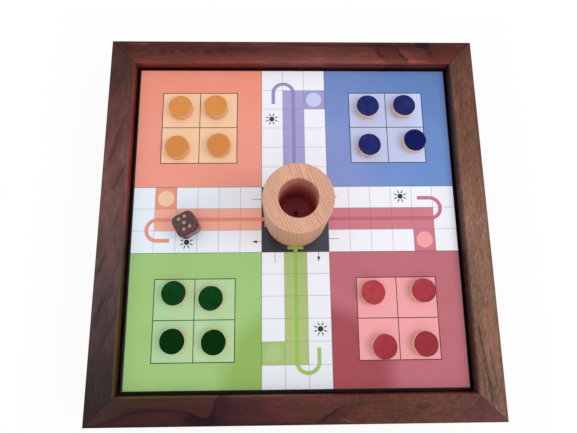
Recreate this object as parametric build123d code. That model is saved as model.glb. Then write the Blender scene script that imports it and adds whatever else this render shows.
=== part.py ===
from build123d import *
import os

# ---------------------------------------------------------------------------
# Ludo board box: a shallow mitred hardwood box. Its lid is a loose playing
# panel that lies on ledges inside the walls, and the playing pieces, the die
# and the dice cup stand on it. Lift the panel out and they go in below it.
#
# Millimetres. +Z is up, +Y is away from the player at the front, and the
# origin is the middle of the underside.
# ---------------------------------------------------------------------------

# The frame
board_side = 305.0             # outside of the frame, along X and along Y
rail_width = 20.25             # thickness of a side, seen from above
recess_depth = 8.0             # top of the rails down to the printed surface
outer_edge_radius = 1.2        # softened outer top edge
inner_edge_radius = 1.6        # softened inner top edge

# The loose playing panel
panel_gap = 1.75               # dark gap between the panel and the rails
print_margin = 1.25            # black edge of the panel left round the print
core_thickness = 5.6           # the board under the print
core_arris = 0.4               # chamfer on the panel's upper edges
sheet_thickness = 0.4          # the printed sheet
arm_width = 53.3               # three squares of the printed path, side by side

# The ledges that carry the panel
ledge_width = 6.0
ledge_height = 10.0
ledge_arris = 1.0              # chamfer on the lower inner edge

# The bottom
base_thickness = 4.0
base_setback = 1.0             # the rails stand this much below the base
rabbet_width = 8.0             # how far the base reaches in under a rail
base_slip = 0.3                # room round the edge of the base in its rabbet

# Screws, driven up through the base into the rails
screws_per_side = 3
screw_pitch = 105.0
screw_shank_diameter = 3.0
screw_head_diameter = 5.8
screw_head_height = 1.7
screw_length = 15.0
screw_tip_length = 3.0
screw_slot_width = 0.8
screw_slot_depth = 0.7
screw_slip = 0.1               # room round the shank and the head

# Loose tongues in the mitres
spline_thickness = 3.0
spline_width = 10.0            # half of it in each rail
spline_inset = 9.0             # from the inner corner, along X and along Y
spline_top_cover = 12.0        # wood left over the stopped slot
spline_bottom_cover = 9.0      # wood left under it
spline_slip = 0.1

# Playing pieces
token_diameter = 19.0
token_thickness = 6.5
token_top_radius = 0.8         # rubbed-over edge round the painted top
token_bottom_arris = 0.25

# Where each piece lies, from the middle of its own yard
token_places = {
    "orange": [(-15.6, 15.7), (13.5, 16.3), (-17.0, -19.3), (16.6, -17.4)],
    "blue": [(-16.2, 16.5), (14.1, 17.0), (-16.3, -17.6), (21.3, -13.8)],
    "green": [(-14.6, 19.4), (13.5, 15.4), (-14.3, -15.8), (16.3, -16.8)],
    "red": [(-19.0, 18.9), (19.9, 20.1), (-12.0, -21.2), (18.9, -19.5)],
}
yard_corners = {"orange": (-1, 1), "blue": (1, 1), "green": (-1, -1), "red": (1, -1)}

# The die
die_side = 18.0
die_edge_radius = 5.0
die_turn = 29.0                # degrees, seen from above
die_inset = 45.0               # from the print's left edge to the middle of the die
die_set_back = -6.6            # from the middle of the board, away from the player
pip_diameter = 2.9
pip_depth = 0.7
pip_reach = 4.45               # from the middle of a face to an outer pip
narrow_reach = 2.4             # the same across the narrow rectangle of the five

# The dice cup
cup_height = 59.5
cup_diameter = 49.5
cup_bore_diameter = 27.5
cup_floor = 9.0                # wood left under the bore
cup_edge_radius = 0.9          # outer edges, top and bottom
cup_mouth_radius = 1.4         # softened mouth of the bore
cup_point_diameter = 3.2       # mark of the drill's point in the floor
cup_point_depth = 1.6
cup_place = (0.5, 1.8)
storage_clearance = 1.5        # over the cup when it lies down in the box

# ---------------------------------------------------------------------------
# Sizes and heights that follow from these
# ---------------------------------------------------------------------------

opening_side = board_side - 2 * rail_width
panel_side = opening_side - 2 * panel_gap
print_side = panel_side - 2 * print_margin
yard_middle = (print_side + arm_width) / 4
die_place = (die_inset - print_side / 2, die_set_back)

base_top = base_setback + base_thickness
ledge_top = base_top + cup_diameter + storage_clearance
core_top = ledge_top + core_thickness
play_height = core_top + sheet_thickness
board_height = play_height + recess_depth


def square(side, bottom, thickness):
    """A square board about the Z axis, from a height upwards."""
    return Pos(0, 0, bottom) * Box(side, side, thickness, align=(Align.CENTER, Align.CENTER, Align.MIN))


def turned(lines):
    """A closed outline of radius and height, turned about the Z axis."""
    return revolve(Plane.XZ * make_face(Curve() + lines), Axis.Z)


def moulding(corners, length):
    """A section of distance across and height, run along X for a length about the middle."""
    section = Plane.YZ * make_face(Polyline(*corners, close=True))
    return extrude(section, length / 2, dir=(1, 0, 0), both=True)


def on_four_sides(names, front_piece):
    """The front piece turned a quarter at a time, with a name for each side."""
    return {name: Rot(0, 0, 90 * turn) * front_piece for turn, name in enumerate(names)}


# ---------------------------------------------------------------------------
# Screws: countersunk, head down, tip up into the rail
# ---------------------------------------------------------------------------

def screw_shape(slip):
    """A screw on the Z axis with its head's face at z = 0, made larger by a slip all round."""
    head, shank = screw_head_diameter / 2 + slip, screw_shank_diameter / 2 + slip
    tip = screw_length + slip
    return turned([Polyline(
        (0, 0),
        (head, 0),
        (shank, screw_head_height + slip),
        (shank, tip - screw_tip_length),
        (0, tip),
        close=True,
    )])


def screw_places():
    """Screw positions along the front side, in the middle of the rabbet."""
    across = -(opening_side + rabbet_width) / 2
    middle = (screws_per_side - 1) / 2
    return [((number - middle) * screw_pitch, across) for number in range(screws_per_side)]


def one_screw():
    slot = Box(screw_head_diameter, screw_slot_width, 2 * screw_slot_depth)
    return screw_shape(0) - slot


screw = one_screw()
front_screws = [Pos(x, y, base_setback) * screw for x, y in screw_places()]
front_holes = [Pos(x, y, base_setback) * screw_shape(screw_slip) for x, y in screw_places()]
all_holes = [Rot(0, 0, 90 * turn) * hole for turn in range(4) for hole in front_holes]
base_screws = Compound([Rot(0, 0, 90 * turn) * piece for turn in range(4) for piece in front_screws])

# ---------------------------------------------------------------------------
# Rails: one moulded section, cut to length at 45 degrees
# ---------------------------------------------------------------------------

def spline_shape(slip):
    """A tongue through the front left mitre, made larger by a slip all round."""
    place = -(opening_side / 2 + spline_inset)
    height = board_height - spline_top_cover - spline_bottom_cover
    tongue = Box(spline_width + 2 * slip, spline_thickness + 2 * slip, height + 2 * slip)
    return Pos(place, place, spline_bottom_cover + height / 2) * Rot(0, 0, -45) * tongue


def front_rail():
    """Outer face, top, inner face and the rabbet for the base; then the mitres and the slots."""
    outer, inner = board_side / 2, opening_side / 2
    rail = moulding(
        [
            (-outer, 0),
            (-outer, board_height),
            (-inner, board_height),
            (-inner, base_top),
            (-inner - rabbet_width, base_top),
            (-inner - rabbet_width, 0),
        ],
        board_side,
    )
    for place, radius in ((-1, inner_edge_radius), (0, outer_edge_radius)):
        top_edges = rail.edges().filter_by(Axis.X).group_by(Axis.Z)[-1]
        rail = fillet(top_edges.sort_by(Axis.Y)[place], radius)
    mitres = make_face(Polyline(
        (-outer, -outer), (outer, -outer), (inner, -inner), (-inner, -inner), close=True
    ))
    rail = rail & extrude(mitres, board_height, dir=(0, 0, 1))
    slot = spline_shape(spline_slip)
    return rail - [slot, Rot(0, 0, 90) * slot, *front_holes]


rails = on_four_sides(["rail_front", "rail_right", "rail_back", "rail_left"], front_rail())
splines = on_four_sides(
    ["spline_front_left", "spline_front_right", "spline_back_right", "spline_back_left"],
    spline_shape(0),
)

# ---------------------------------------------------------------------------
# Base, ledges and the loose playing panel
# ---------------------------------------------------------------------------

base_side = opening_side + 2 * rabbet_width - 2 * base_slip
base_panel = square(base_side, base_setback, base_thickness) - all_holes


def ledge(length):
    """A strip against the inside of the front rail, its top under the panel."""
    wall = -opening_side / 2
    edge, bottom = wall + ledge_width, ledge_top - ledge_height
    return moulding(
        [
            (wall, ledge_top),
            (edge, ledge_top),
            (edge, bottom + ledge_arris),
            (edge - ledge_arris, bottom),
            (wall, bottom),
        ],
        length,
    )


long_ledge = ledge(opening_side)
short_ledge = ledge(opening_side - 2 * ledge_width)
ledges = {
    "ledge_front": long_ledge,
    "ledge_back": Rot(0, 0, 180) * long_ledge,
    "ledge_right": Rot(0, 0, 90) * short_ledge,
    "ledge_left": Rot(0, 0, 270) * short_ledge,
}

playing_panel = square(panel_side, ledge_top, core_thickness)
playing_panel = chamfer(playing_panel.edges().group_by(Axis.Z)[-1], core_arris)
printed_sheet = square(print_side, core_top, sheet_thickness)

# ---------------------------------------------------------------------------
# Playing pieces
# ---------------------------------------------------------------------------

def token():
    """A disc turned about Z: small arris below, rubbed-over edge round the top."""
    radius, soft = token_diameter / 2, token_top_radius
    shoulder = token_thickness - soft
    return turned([
        Polyline(
            (0, token_thickness),
            (0, 0),
            (radius - token_bottom_arris, 0),
            (radius, token_bottom_arris),
            (radius, shoulder),
        ),
        RadiusArc((radius, shoulder), (radius - soft, token_thickness), -soft),
        Line((radius - soft, token_thickness), (0, token_thickness)),
    ])


one_token = token()
tokens = {}
for colour, places in token_places.items():
    side_x, side_y = yard_corners[colour]
    for number, (along_x, along_y) in enumerate(places, start=1):
        centre = Pos(side_x * yard_middle + along_x, side_y * yard_middle + along_y, play_height)
        tokens[f"token_{colour}_{number}"] = centre * one_token

# ---------------------------------------------------------------------------
# Die: a cube with rounded edges and drilled pips, opposite faces adding to 7
# ---------------------------------------------------------------------------

def pip_layout(count):
    """Pip centres on a face. The five keeps the narrow rectangle of the real one."""
    far, near = pip_reach, narrow_reach
    middle = [(0, 0)]
    diagonal = [(-far, far), (far, -far)]
    corners = diagonal + [(far, far), (-far, -far)]
    return {
        1: middle,
        2: diagonal,
        3: diagonal + middle,
        4: corners,
        5: middle + [(-near, far), (near, far), (-near, -far), (near, -far)],
        6: corners + [(-far, 0), (far, 0)],
    }[count]


def pip_cutter():
    """A ball that leaves a dimple of the stated width and depth in a face at z = 0."""
    half = pip_diameter / 2
    ball = (half**2 + pip_depth**2) / (2 * pip_depth)
    return Pos(0, 0, ball - pip_depth) * Sphere(ball)


def make_die():
    cube = Box(die_side, die_side, die_side)
    cube = fillet(cube.edges(), die_edge_radius)
    turns = {5: Rot(0, 0, 0), 2: Rot(180, 0, 0), 1: Rot(90, 0, 0),
             6: Rot(-90, 0, 0), 3: Rot(0, 90, 0), 4: Rot(0, -90, 0)}
    cutter = pip_cutter()
    dimples = [
        turn * Pos(x, y, die_side / 2) * cutter
        for count, turn in turns.items()
        for x, y in pip_layout(count)
    ]
    return cube - dimples


die = Pos(*die_place, play_height + die_side / 2) * Rot(0, 0, die_turn) * make_die()

# ---------------------------------------------------------------------------
# Dice cup: turned outside, drilled from the top, the drill's point left a mark
# ---------------------------------------------------------------------------

def make_cup():
    outer, bore = cup_diameter / 2, cup_bore_diameter / 2
    soft, mouth = cup_edge_radius, cup_mouth_radius
    point = cup_point_diameter / 2
    return turned([
        Line((0, 0), (outer - soft, 0)),
        RadiusArc((outer - soft, 0), (outer, soft), -soft),
        Line((outer, soft), (outer, cup_height - soft)),
        RadiusArc((outer, cup_height - soft), (outer - soft, cup_height), -soft),
        Line((outer - soft, cup_height), (bore + mouth, cup_height)),
        RadiusArc((bore + mouth, cup_height), (bore, cup_height - mouth), -mouth),
        Polyline(
            (bore, cup_height - mouth),
            (bore, cup_floor),
            (point, cup_floor),
            (0, cup_floor - cup_point_depth),
            (0, 0),
        ),
    ])


dice_cup = Pos(*cup_place, play_height) * make_cup()

# ---------------------------------------------------------------------------
# Every piece in its own file
# ---------------------------------------------------------------------------

pieces = {
    **rails,
    **splines,
    "base_panel": base_panel,
    "base_screws": base_screws,
    **ledges,
    "playing_panel": playing_panel,
    "printed_sheet": printed_sheet,
    **tokens,
    "die": die,
    "dice_cup": dice_cup,
}

os.makedirs("parts", exist_ok=True)
for name, shape in pieces.items():
    export_step(shape, f"parts/{name}.step")
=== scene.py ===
import bpy
import numpy as np
from mathutils import Euler, Matrix, Vector


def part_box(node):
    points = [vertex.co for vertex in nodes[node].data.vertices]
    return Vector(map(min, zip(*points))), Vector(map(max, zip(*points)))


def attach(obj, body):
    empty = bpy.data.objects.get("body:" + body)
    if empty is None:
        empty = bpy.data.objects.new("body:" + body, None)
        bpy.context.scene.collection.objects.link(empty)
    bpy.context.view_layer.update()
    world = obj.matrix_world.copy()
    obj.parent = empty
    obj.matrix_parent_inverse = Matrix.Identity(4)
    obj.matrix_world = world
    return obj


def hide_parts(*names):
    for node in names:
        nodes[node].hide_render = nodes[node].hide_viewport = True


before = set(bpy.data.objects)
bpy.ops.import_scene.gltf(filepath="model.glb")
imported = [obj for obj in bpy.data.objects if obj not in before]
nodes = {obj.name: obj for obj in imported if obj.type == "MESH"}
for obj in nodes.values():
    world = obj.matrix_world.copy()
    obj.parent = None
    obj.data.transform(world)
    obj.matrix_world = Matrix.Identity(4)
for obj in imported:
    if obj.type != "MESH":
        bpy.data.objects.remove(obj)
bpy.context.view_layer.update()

# ---------------------------------------------------------------------------
# The rails: four lengths of one moulding in a dark, figured hardwood. They are
# mitred and glued round hidden tongues, sanded until every top edge is soft,
# and oiled. Each is another length of the board, so each has its own figure.
# ---------------------------------------------------------------------------

MM = 0.001


class Field:
    """A number that changes over a surface. Its sums, products and powers become Math nodes."""

    def __init__(self, tree, socket):
        self.tree, self.socket = tree, socket

    def math(self, operation, *others, clamp=False):
        inputs = dict(enumerate((self, *others)))
        node = Recipe(self.tree).add("Math", inputs, operation=operation, use_clamp=clamp)
        return Field(self.tree, node.outputs[0])

    def __add__(self, other):
        return self.math("ADD", other)

    def __sub__(self, other):
        return self.math("SUBTRACT", other)

    def __rsub__(self, other):
        return self.math("MULTIPLY_ADD", -1.0, other)

    def __mul__(self, other):
        return self.math("MULTIPLY", other)

    def __truediv__(self, other):
        return self.math("DIVIDE", other)

    def __abs__(self):
        return self.math("ABSOLUTE")

    def least(self, other):
        return self.math("MINIMUM", other)

    def most(self, other):
        return self.math("MAXIMUM", other)

    def clamped(self):
        return self.math("ADD", 0.0, clamp=True)

    def bell(self, width):
        """1 at nought, falling off on both sides as exp of minus the square of the number over the width."""
        share = self / width
        return (share * share * -1.0).math("EXPONENT")

    def rise(self, low, high):
        """0 below low, 1 above high and an S curve between them; it falls where low is the larger."""
        inputs = {"Value": self, "From Min": low, "From Max": high}
        node = Recipe(self.tree).add("MapRange", inputs, interpolation_type="SMOOTHSTEP")
        return Field(self.tree, node.outputs["Result"])

    def inked(self, blur=0.16):
        """1 where the number is above nought and 0 below it, with printed ink's blur in millimetres."""
        return (self / blur + 0.5).clamped()


class Recipe:
    """A shader tree that is being filled in, and the material that it belongs to, if any."""

    def __init__(self, tree, material=None):
        self.tree, self.material = tree, material

    def fill(self, sockets, values):
        """Links Fields and sockets to a node's inputs, and sets the inputs that get plain values."""
        for name, value in values.items():
            value = value.socket if isinstance(value, Field) else value
            if isinstance(value, bpy.types.NodeSocket):
                self.tree.links.new(value, sockets[name])
            else:
                sockets[name].default_value = value

    def add(self, kind, inputs=None, **settings):
        """A node of this kind, with its settings by name and its inputs by name or place."""
        node = self.tree.nodes.new("ShaderNode" + kind)
        for name, value in settings.items():
            setattr(node, name, value)
        self.fill(node.inputs, inputs or {})
        return node

    def field(self, node, output=0):
        return Field(self.tree, node.outputs[output])

    def use(self, group, **inputs):
        """A node group's results as Fields, or its only result."""
        node = self.add("Group", inputs, node_tree=group)
        results = [Field(self.tree, output) for output in node.outputs]
        return results if len(results) > 1 else results[0]

    def noise(self, place, scale=1.0, detail=2.0, roughness=0.5):
        """Smooth noise from 0 to 1 about 0.5 at a place (x, y, z), with a swing for each 1/scale of it."""
        vector = self.add("CombineXYZ", dict(enumerate(place))).outputs[0]
        inputs = {"Vector": vector, "Scale": scale, "Detail": detail, "Roughness": roughness}
        return self.field(self.add("TexNoise", inputs), "Fac")

    def chance(self, number):
        """A share of 0 to 1 drawn by lot, always the same for the same number."""
        return self.field(self.add("TexWhiteNoise", {"W": number}, noise_dimensions="1D"), "Value")

    def mix(self, share, first, second, blend_type="MIX"):
        """A colour that goes from the first to the second with the share."""
        node = self.add("Mix", {0: share, 6: first, 7: second}, data_type="RGBA", blend_type=blend_type)
        return node.outputs[2]

    def layers(self, colour, *coats):
        """A colour with others laid over it one after another, each with the share that it covers."""
        for share, coat in coats:
            colour = self.mix(share, colour, coat)
        return colour

    def scaled(self, vector, factor):
        """A colour made darker or lighter as a whole, or a place in other units."""
        return self.add("VectorMath", {0: vector, "Scale": factor}, operation="SCALE").outputs["Vector"]

    def ramp(self, share, stops):
        """A colour read off a strip of coloured stops."""
        node = self.add("ValToRGB", {"Fac": share})
        elements = node.color_ramp.elements
        while len(elements) < len(stops):
            elements.new(0.5)
        for element, (place, colour) in zip(elements, stops):
            element.position, element.color = place, colour
        return node.outputs["Color"]

    def bump(self, height, depth, strength=0.5):
        """A normal from a height of 0 to 1 that stands for this depth in millimetres."""
        inputs = {"Height": height, "Strength": strength, "Distance": depth * MM}
        return self.add("Bump", inputs).outputs["Normal"]

    def finish(self, **results):
        """Fills the material's Principled shader in, with _ for a space in the names of its inputs."""
        values = {label.replace("_", " "): value for label, value in results.items()}
        self.fill(self.tree.nodes["Principled BSDF"].inputs, values)
        return self.material


def rgb(red, green, blue):
    """A colour as it is seen on a screen, from 0 to 255, in the linear values that shaders take."""
    share = np.array([red, green, blue]) / 255
    linear = np.where(share <= 0.04045, share / 12.92, ((share + 0.055) / 1.055) ** 2.4)
    return (*map(float, linear), 1.0)


def effect(marks, **inputs):
    """A node group from a function that takes a recipe and the inputs, and gives the results by name."""
    group = bpy.data.node_groups.new(marks.__name__, "ShaderNodeTree")
    recipe = Recipe(group)
    for label, value in inputs.items():
        place = group.interface.new_socket(label, in_out="INPUT", socket_type="NodeSocketFloat")
        place.default_value = value
    source = group.nodes.new("NodeGroupInput")
    results = marks(recipe, *(recipe.field(source, label) for label in inputs))
    for label in results:
        group.interface.new_socket(label, in_out="OUTPUT", socket_type="NodeSocketFloat")
    recipe.fill(group.nodes.new("NodeGroupOutput").inputs, results)
    return group


def material(name):
    """A new material's recipe, and x, y and z on the piece in millimetres."""
    made = bpy.data.materials.new(name)
    made.use_nodes = True
    recipe = Recipe(made.node_tree, made)
    place = recipe.scaled(recipe.add("TexCoord").outputs["Object"], 1 / MM)
    axes = recipe.add("SeparateXYZ", {0: place})
    return recipe, [recipe.field(axes, axis) for axis in "XYZ"]


def wear(node, finish):
    """A CAD node keeps its mesh and takes a material."""
    node.data.materials.clear()
    node.data.materials.append(finish)


def corners_of(node):
    """The lowest and the highest corner of a CAD node, in millimetres."""
    return [np.array(corner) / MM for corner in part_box(node)]


def long_grain(recipe, along, across, up, seed, ring, wander, tilt):
    """
    Wood seen along its grain. Rings are slanting layers, shifted by slow noise that is drawn out along
    the grain, dark towards each ring's end. Fibres and pores are finer noise, drawn out far more.
    """
    seed = seed * 31.7

    def drawn_out(along_scale, across_scale, detail, roughness=0.5):
        place = (along * along_scale + seed, across * across_scale, up * across_scale)
        return recipe.noise(place, 1.0, detail, roughness)

    slow = drawn_out(0.012, 0.045, 1.0)
    quick = drawn_out(0.05, 0.3, 2.0)
    layers = across * tilt + up * 0.8 + (slow - 0.5) * wander * 4.0 + (quick - 0.5) * 2.0
    count = layers / ring
    number = count.math("FLOOR")
    part = count - number
    darkness = recipe.chance(number + seed) * 0.75 + 0.25
    return {
        "Rings": part.rise(0.25, 0.93) * part.rise(1.0, 0.93) * darkness,
        "Fibre": drawn_out(0.08, 1.7, 4.0, 0.68),
        "Pores": drawn_out(0.3, 4.6, 1.0).rise(0.60, 0.70),
        "Cloud": drawn_out(0.035, 0.11, 3.0, 0.55),
    }


def slant_streaks(recipe, along, across, slope, seed, length, pitch):
    """Dark streaks that cross the rail at a slant: noise in slanting coordinates, long one way."""
    drop = across - along * slope
    wobble = recipe.noise((along * 0.09, across * 0.2, seed))
    place = (along / length + seed, (drop + wobble * 4.0) / pitch, 0.0)
    return {"Mask": recipe.noise(place, 1.0, 3.0, 0.6) - 0.5}


grain_group = effect(long_grain, Along=0.0, Across=0.0, Up=0.0, Seed=0.0, Ring=3.0, Wander=6.0, Tilt=0.6)
streak_group = effect(
    slant_streaks, Along=0.0, Across=0.0, Slope=-0.3, Seed=0.0, Length=90.0, Pitch=9.0)

opening_half = 132.25
rail_width = 20.25
side_half = opening_half + rail_width
rail_top = corners_of("rail_front")[1][2]


def oval(x, y, centre, radii):
    """The square of how far out of an oval's centre a place is, 1 on the oval itself."""
    return (((x - centre[0]) / radii[0]).math("POWER", 2.0)
            + ((y - centre[1]) / radii[1]).math("POWER", 2.0))


class Board:
    """A rail's place on its length of wood: along, across from the inner edge, and a slow unsteadiness."""

    def __init__(self, recipe, along, across, height):
        self.recipe, self.along, self.across = recipe, along, across
        self.share = (along + side_half) / (2 * side_half)
        self.unsteady = recipe.noise((along * 0.16, across * 0.2, height * 0.2)) - 0.5

    def span(self, start, end, soft):
        """1 between two places along the rail, with soft ends."""
        return self.along.rise(start - soft, start + soft) * self.along.rise(end + soft, end - soft)

    def band(self, low, high, soft):
        """1 between two places across the rail, with soft sides."""
        return self.across.rise(low - soft, low + soft) * self.across.rise(high + soft, high - soft)

    def slant(self, start, end, soft):
        """How far a place is off a line between two (along, across), and the line's span with soft ends."""
        slope = (end[1] - start[1]) / (end[0] - start[0])
        off = self.across - start[1] - (self.along - start[0]) * slope + self.unsteady * 2.2
        return off, self.span(min(start[0], end[0]), max(start[0], end[0]), soft)

    def lined(self, shade, lines):
        """The shade with slanting dark lines in it, each with its start, end, width and depth."""
        for start, end, width, depth in lines:
            off, reach = self.slant(start, end, 4.0)
            shade = shade - off.bell(width) * reach * depth
        return shade


def stops(*tones):
    """Tones along a rail, each a place from -152 to 152 mm and a colour, as the stops of a strip."""
    return [((place + side_half) / (2 * side_half), rgb(*tone)) for place, tone in tones]


def rail_material(name, seed, outwards, turned, tones, edges, dusk, streaks, figure):
    """
    Dark oiled wood. Its tone changes slowly along the rail and drifts between redder and greener. Streaks,
    clouds, fibres, rings and pores make it darker or lighter, and so does figure, which has the marks of
    this very length of the board; the dark ones are tinged with dusk. Edges are tones painted on the inner
    edge and wall: the light and shade that fall there and the colour that the print throws on them. The
    wall's foot and the rounded outer edge are painted darker, as shade.
    """
    recipe, (x, y, z) = material(name)
    along, across = (y, x) if turned else (x, y)
    across = across * outwards - opening_half
    rings, fibre, pores, cloud = recipe.use(grain_group, Along=along, Across=across, Up=z, Seed=seed)
    # On the outer face the figure goes on downwards, as if the top were folded over the edge.
    outer = across.rise(12.0, 19.0)
    folded = across + (rail_top - z) * outer
    board = Board(recipe, along, folded, z)
    slope, length, pitch, depth = streaks
    slant = recipe.use(
        streak_group, Along=along, Across=folded, Slope=slope, Seed=seed, Length=length, Pitch=pitch)
    # Lower down on that face the tone keeps nearer to the one at 0.62 of the rail's length.
    share = board.share + (0.62 - board.share) * z.rise(rail_top - 0.5, rail_top - 8.0) * outer * 0.8
    drift = recipe.noise((along * 0.05 + seed, folded * 0.14, seed), 1.0, 3.0, 0.6).rise(0.36, 0.64)
    drift = recipe.mix(drift, (1.05, 0.92, 0.95, 1.0), (0.97, 1.07, 1.03, 1.0))
    tone = recipe.mix(1.0, recipe.ramp(share, stops(*tones)), drift, "MULTIPLY")
    marks = figure(board)
    tone = recipe.mix((marks * -0.8).clamped(), tone, rgb(*dusk))
    # The inner edge and wall take the edge tones: painted light and shade, with the colour that the print
    # throws on them.
    wall = across.rise(0.9, 0.1)
    tone = recipe.mix(wall * 0.85, tone, recipe.ramp(share, stops(*edges)))
    mitre = (abs(along) - across - opening_half).bell(0.4) * 0.5
    shade = (fibre - 0.5) * 1.5 + (cloud - 0.5) * 0.9 + slant * depth - rings * 0.10 - pores * 0.30
    # Painted shade: the rounded outer edge is darker, and so is the inner wall towards its foot, in the
    # recess beside the panel. The mitre is a dark glue line.
    shade = shade + marks - across.rise(19.0, 20.2) * z.rise(rail_top - 10.0, rail_top - 1.0) * 0.7
    shade = shade - mitre - wall * z.rise(rail_top - 6.0, rail_top - 9.1) * 1.2
    return recipe.finish(
        Base_Color=recipe.scaled(tone, shade.math("EXPONENT")),
        Roughness=fibre * 0.22 + 0.30 + pores * 0.2,
        Normal=recipe.bump(fibre * 0.5 - pores, 0.12, 0.6),
        Specular_IOR_Level=wall * 0.35 + 0.12,
    )


def back_figure(board):
    """
    Darker along the outer edge, outside a thin line; at the right two ragged lines that come down across
    the rail, dark between them and pale beside the second, and a knot at the outer edge with a tail.
    """
    along, across, span, band = board.along, board.across, board.span, board.band
    ragged = board.unsteady * 9.0
    outside = across.rise(15.6, 16.6) * across.rise(40.0, 24.0) * span(-14, 118, 12)
    beside = (across - 16.2 + board.unsteady * 1.5).bell(0.8) * span(10, 112, 12)
    # A paler band of wood along the inner edge, and a painted highlight on the rounded inner edge itself.
    pale_band_and_highlight = (across - 2.5).bell(2.6) * (span(60, 115, 8) * 0.2 + 0.22)
    pale_band_and_highlight = pale_band_and_highlight + (across - 1.1).bell(0.8) * 0.42
    mottle = span(-150, -60, 25) * band(7, 16, 3) * board.unsteady * 1.7
    dull = band(7.5, 15, 2.5) * span(-110, -8, 20) * 0.20
    first = along - 73.2 + (across - 9.0) * 0.55 + ragged
    second = along - 91.7 + (across - 8.5) * 0.75 + ragged
    between = first.rise(-0.5, 1.5) * second.rise(0.5, -0.5) * 0.34
    lines = first.bell(1.3) * band(5, 14, 1.5) * 0.85 + second.bell(1.5) * band(2.5, 15, 1.5) * 1.1
    pale_side = (second - 5.0).bell(5.0) * band(1.5, 12, 1.5) * second.rise(0.5, 1.5) * 0.22
    knot = (oval(along, across, (111.0, 18.0), (6.0, 4.4)) + board.unsteady * 1.6).rise(1.5, 0.3)
    tail = (along - 115.5 + (across - 12.0) * 0.45).bell(2.6) * band(6, 15, 3) * 0.65
    pale = span(-140, -121, 4) * band(16.6, 18.4, 0.5) * 0.8
    pale = pale + span(139, 146, 3) * band(16.0, 17.3, 0.5) * 0.9
    pale = pale + span(95, 113, 4) * band(1.2, 2.4, 0.5) * 0.45
    fall = (across - 5.0).bell(3.5) * 0.14 - band(10, 16, 1.5) * 0.24 + board.unsteady * 0.3
    fall = fall - span(-150, -30, 15) * across.rise(15.5, 17.5) * 0.24
    fall = fall - span(60, 125, 8) * across.rise(12.5, 15.0) * across.rise(40.0, 24.0) * 0.2
    return (fall + pale_band_and_highlight + mottle + pale_side + pale
            - outside * 0.42 - beside * 0.5 - dull - between - lines - knot * 1.5 - tail)


def front_figure(board):
    """
    At the left a long dark line that swings out and back like an S, with nested lines inside it and a
    dark pool at its lowest; then a slanting dark line, with fleck and a thin zigzag at its right. On the
    left half the inner edge is paler, and the rounded outer edge has painted shade.
    """
    along, across, span = board.along, board.across, board.span
    curve = board.recipe.add("FloatCurve", {"Value": board.share})
    points = curve.mapping.curves[0].points
    swing = [
        (-152, 19.5), (-133, 15.8), (-118, 10.4), (-101, 8.6), (-84, 9.9), (-74, 12.3), (-67, 14.8),
        (-63.5, 14.2), (-61.2, 10.5), (-60.0, 6.0), (-57.5, 1.0), (-54, -3.0), (152, -3.0),
    ]
    while len(points) < len(swing):
        points.new(0.5, 0.5)
    for point, (place, height) in zip(points, swing):
        point.location = ((place + side_half) / (2 * side_half), (height + 5) / 30)
    curve.mapping.update()
    off = across - (board.recipe.field(curve) * 30.0 - 5.0) + board.unsteady * 1.2
    left = along.rise(-50.0, -62.0)
    line = off.bell(1.2) * 0.85 * along.rise(-150.0, -128.0) * left
    below = off.rise(-0.6, 0.8) * off.rise(10.0, 2.5) * 0.36 * left
    pool = oval(along, across, (-69.0, 15.8), (15.0, 4.4)).rise(1.3, 0.2) * off.rise(-0.8, 0.6)
    beside = off.rise(-0.5, 1.0) * off.rise(36.0, 25.0) * span(-63, -50, 4) * 0.75
    nested = abs((off / 1.9 + board.unsteady * 0.8).math("FRACT") - 0.5).rise(0.34, 0.5)
    nested = nested * off.rise(0.0, -1.0) * span(-118, -62, 10) * 0.42
    slope_off, reach = board.slant((15, 18.5), (40, 3.5), 3.0)
    ribbon = slope_off.bell(1.2) * reach * across.rise(5, 12) * 0.75
    after = board.slant((21, 18.0), (49, 4.0), 4.0)[0].bell(4.5) * span(22, 47, 6) * 0.26
    fleck = board.recipe.noise((along * 0.45 + across * 0.3, across * 0.25, 4.0), 1.0, 3.0, 0.6)
    fleck = (fleck - 0.5) * (span(30, 130, 12) * 0.4 + 0.75)
    zigzag = board.slant((31, 16.6), (39, 18.6), 2.0)
    fleck = fleck + zigzag[0].bell(0.6) * zigzag[1] * 0.7
    patch = oval(along, across, (91.0, 8.0), (6.0, 2.6)).rise(1.3, 0.2) * 0.35
    corner = (along - 134.0).bell(6.0) * board.band(3, 14, 3) * 0.22
    # Painted shade on the rounded outer edge: rim here, and the last term of edges below.
    rim = (across - 19.4).bell(0.8) * span(-38, 5, 8) * 0.5
    edges = across.rise(8.5, 5.0) * along.rise(35.0, 5.0) * 0.27
    edges = edges + across.rise(3.2, 0.6) * span(-48, 22, 10) * 0.2
    edges = edges - across.rise(17.8, 19.0) * along.rise(40.0, -15.0) * across.rise(26.0, 21.0) * 0.5
    return (edges + fleck - line - below - pool * 1.2 - beside - nested - ribbon - after - patch
            - corner - rim)


def left_figure(board):
    """Dark lines that slant inwards towards the back, a smoky front end and a dark wedge near the back."""
    shade = board.lined(board.unsteady * 0.5, [
        ((-112, 17.5), (-72, 1.5), 1.7, 0.588), ((-76, 16.5), (-62, 11.5), 1.0, 0.56),
        ((-66, 9.5), (-54, 4.0), 1.2, 0.35), ((-45, 18.0), (-28, 12.5), 1.6, 0.42),
        ((20, 12.0), (43, 2.0), 1.3, 0.448), ((44, 15.5), (86, 5.0), 1.8, 0.42),
        ((104, 16.5), (120, 8.0), 2.4, 0.476),
    ])
    smoke = board.span(-135, -112, 8) * board.band(3, 16, 4) * 0.30
    wedge = board.slant((100, 20.0), (132, 1.0), 4.0)[0].rise(-2.0, 2.0) * board.along.rise(100, 112) * 0.20
    pale = board.along.rise(-30, 20) * board.along.rise(95, 60) * 0.05
    return shade - smoke - wedge + pale


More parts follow.
